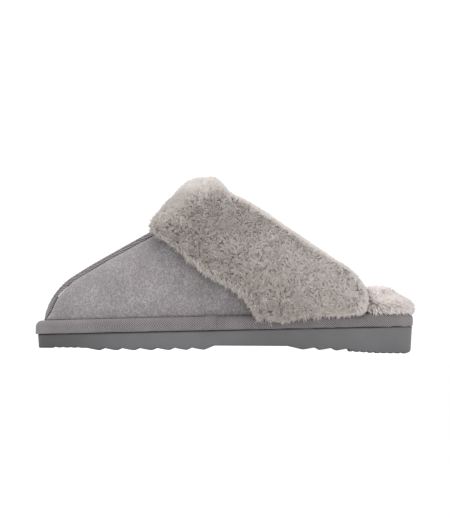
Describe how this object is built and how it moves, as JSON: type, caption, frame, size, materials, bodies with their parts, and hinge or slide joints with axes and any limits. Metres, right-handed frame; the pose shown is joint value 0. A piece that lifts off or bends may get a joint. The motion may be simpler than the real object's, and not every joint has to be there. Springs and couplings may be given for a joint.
{
  "type": "fluffy house slipper",
  "caption": "Backless suede house slipper with a turned-back sheepskin cuff, fleece footbed, taped platform and ribbed sole.",
  "frame": {"origin": "on the ground, under the middle of the slipper's overall box", "axes": "toe towards -Y, heel towards +Y, the wearer's left towards +X, up +Z"},
  "size_m": [0.0946, 0.2641, 0.1222],
  "materials": {
    "outsole_foam": "matt moulded EVA foam rubber",
    "midsole_foam": "matt EVA foam",
    "felt": "pressed felt",
    "woven_tape": "herringbone woven tape",
    "board": "fibre board",
    "cushion_foam": "open-cell foam",
    "hide": "soft sheepskin leather",
    "footbed_pile": "dense clipped sheepskin wool",
    "suede": "napped suede",
    "lining_pile": "short wool fleece",
    "thread": "twisted polyester thread",
    "cuff_pile": "dense long sheepskin wool"
  },
  "bodies": {
    "root": {"outsole": "outsole_foam", "midsole": "midsole_foam", "bottom_filler": "felt", "platform_wrap_tape": "woven_tape", "insole_board": "board", "cushion_foam": "cushion_foam", "footbed_skin": "hide", "footbed_wool": "footbed_pile", "vamp_left": "suede", "vamp_right": "suede", "lining_left": "lining_pile", "lining_right": "lining_pile", "centre_seam_tape": "woven_tape", "centre_stitches_left": "thread", "centre_stitches_right": "thread", "platform_stitches": "thread", "topline_stitches": "thread", "cuff_skin": "hide", "cuff_wool": "cuff_pile"}
  },
  "joints": []
}
